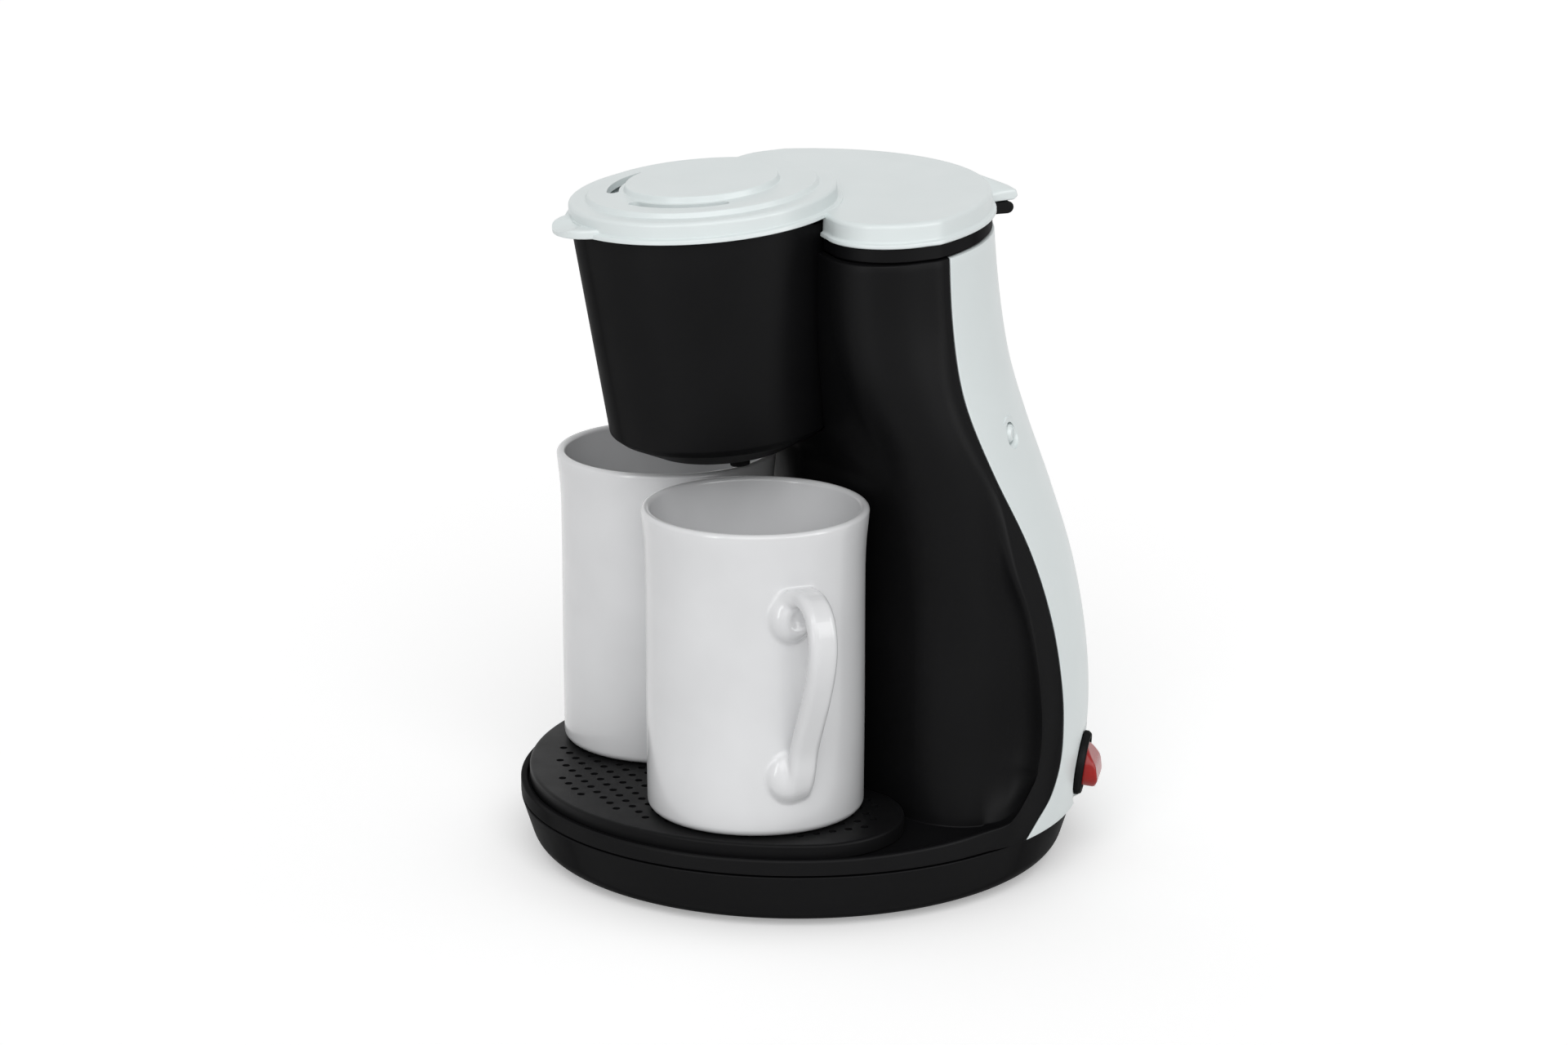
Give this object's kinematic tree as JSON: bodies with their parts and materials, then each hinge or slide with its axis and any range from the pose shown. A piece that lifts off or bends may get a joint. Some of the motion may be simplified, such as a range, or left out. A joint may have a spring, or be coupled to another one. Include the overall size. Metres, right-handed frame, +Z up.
{
  "type": "drip coffee maker with mugs",
  "caption": "Small drip coffee maker: leaning brew bucket on a waisted tower, round deck with a lift-out cup grid, hinged lid, back cover and a pair of mugs.",
  "frame": {"origin": "bottom centre of the whole object's box, on the surface it stands on", "axes": "+Z up, the front faces -Y, and the switch is on the +X side of the back cover"},
  "size_m": [0.1776, 0.1766, 0.2124],
  "materials": {
    "black_plastic": "satin moulded polypropylene",
    "white_plastic": "smooth moulded plastic, slightly cool white",
    "ceramic": "glossy white glaze on stoneware",
    "rubber": "matte",
    "steel": "zinc plated",
    "aluminium": "as cast",
    "red_plastic": "translucent, clear gloss",
    "silicone": "matte, translucent",
    "nylon": "natural",
    "phenolic": "moulded, dark brown"
  },
  "bodies": {
    "machine": {"base_pan": "black_plastic", "body_shell": "black_plastic", "filter_bucket": "black_plastic", "drip_nozzle_left": "black_plastic", "drip_nozzle_right": "black_plastic", "switch_bezel": "black_plastic", "water_tank": "black_plastic", "back_cover": "white_plastic", "foot_1": "rubber", "base_screw_1": "steel", "foot_2": "rubber", "base_screw_2": "steel", "foot_3": "rubber", "base_screw_3": "steel", "foot_4": "rubber", "base_screw_4": "steel", "cover_screw_left": "steel", "cover_screw_right": "steel", "heater_screw_left": "steel", "heater_screw_right": "steel", "hinge_pin": "steel", "heater_bracket": "steel", "thermal_fuse_1": "steel", "thermal_fuse_2": "steel", "cord_gland": "rubber", "boiler": "aluminium", "tank_seal": "silicone", "riser_hose": "silicone", "inlet_hose": "silicone", "check_valve": "silicone", "water_spout": "nylon", "terminal_block": "nylon", "thermostat": "phenolic"},
    "lid": {"lid": "white_plastic"},
    "switch_rocker": {"switch_rocker": "red_plastic"},
    "cup_grid": {"cup_grid": "black_plastic"},
    "mug_left": {"mug_left": "ceramic"},
    "mug_right": {"mug_right": "ceramic"},
    "filter_basket": {"filter_frame": "black_plastic", "filter_mesh": "nylon"}
  },
  "joints": [
    {"name": "lid_hinge", "type": "hinge", "parent": "machine", "child": "lid", "pos_m": [0, 0.06362, 0.1949], "axis": [-1, 0, 0], "range_deg": [0, 100]},
    {"name": "switch_rock", "type": "hinge", "parent": "machine", "child": "switch_rocker", "pos_m": [0.04723, 0.07044, 0.03007], "axis": [-0.8434, 0.5373, 0], "range_deg": [0, 18]},
    {"name": "cup_grid_lift", "type": "slide", "parent": "machine", "child": "cup_grid", "axis": [0, 0, 1], "range_m": [0, 0.003]},
    {"name": "mug_left_slide", "type": "slide", "parent": "cup_grid", "child": "mug_left", "axis": [0, -1, 0], "range_m": [0, 0.12]},
    {"name": "mug_right_slide", "type": "slide", "parent": "cup_grid", "child": "mug_right", "axis": [0, -1, 0], "range_m": [0, 0.12]},
    {"name": "filter_lift", "type": "slide", "parent": "machine", "child": "filter_basket", "axis": [0, -0.0811, 0.9967], "range_m": [0, 0.003]}
  ]
}
